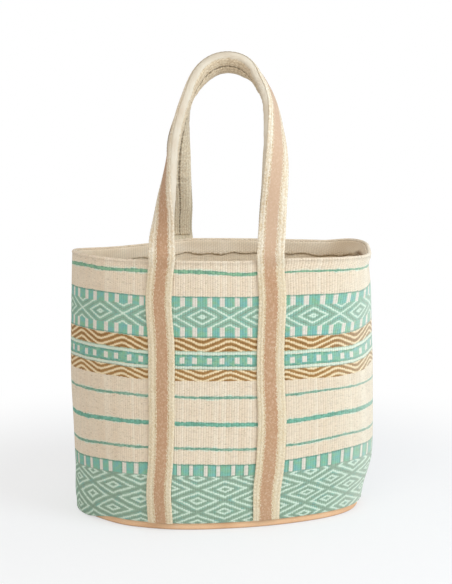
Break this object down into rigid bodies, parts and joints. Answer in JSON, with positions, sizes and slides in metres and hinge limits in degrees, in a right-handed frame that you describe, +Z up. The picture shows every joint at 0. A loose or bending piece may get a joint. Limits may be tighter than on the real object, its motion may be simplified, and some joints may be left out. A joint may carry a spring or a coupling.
{
  "type": "woven market basket",
  "caption": "Oval soft-sided woven basket on a stitched leather base, with sewn webbing straps that rise over the rim as padded, folding carrying handles.",
  "frame": {"origin": "middle of the underside of the leather base, on the ground", "axes": "+Z up out of the mouth, X along the long axis of the oval, front face towards -Y"},
  "size_m": [0.4, 0.2384, 0.6065],
  "materials": {
    "woven_cloth": "matte",
    "canvas_tape": "matte",
    "strap_webbing": "matte",
    "handle_backing": "matte",
    "handle_padding": "matte",
    "base_leather": "satin",
    "base_board": "matte",
    "base_lining": "matte"
  },
  "bodies": {
    "bag": {"woven_front_panel": "woven_cloth", "woven_back_panel": "woven_cloth", "side_seam_tape_left": "canvas_tape", "side_seam_tape_right": "canvas_tape", "rim_tape": "canvas_tape", "leather_sole": "base_leather", "leather_band": "base_leather", "base_board": "base_board", "base_lining": "base_lining", "front_strap_left": "strap_webbing", "front_strap_right": "strap_webbing", "back_strap_left": "strap_webbing", "back_strap_right": "strap_webbing"},
    "front_handle": {"front_handle_webbing": "strap_webbing", "front_handle_backing": "handle_backing", "front_handle_padding": "handle_padding"},
    "back_handle": {"back_handle_webbing": "strap_webbing", "back_handle_backing": "handle_backing", "back_handle_padding": "handle_padding"}
  },
  "joints": [
    {"name": "front_handle_fold", "type": "hinge", "parent": "bag", "child": "front_handle", "pos_m": [0, -0.11577, 0.3526], "axis": [1, 0, 0], "range_deg": [0, 190]},
    {"name": "back_handle_fold", "type": "hinge", "parent": "bag", "child": "back_handle", "pos_m": [0, 0.11617, 0.3526], "axis": [-1, 0, 0], "range_deg": [0, 190]}
  ]
}
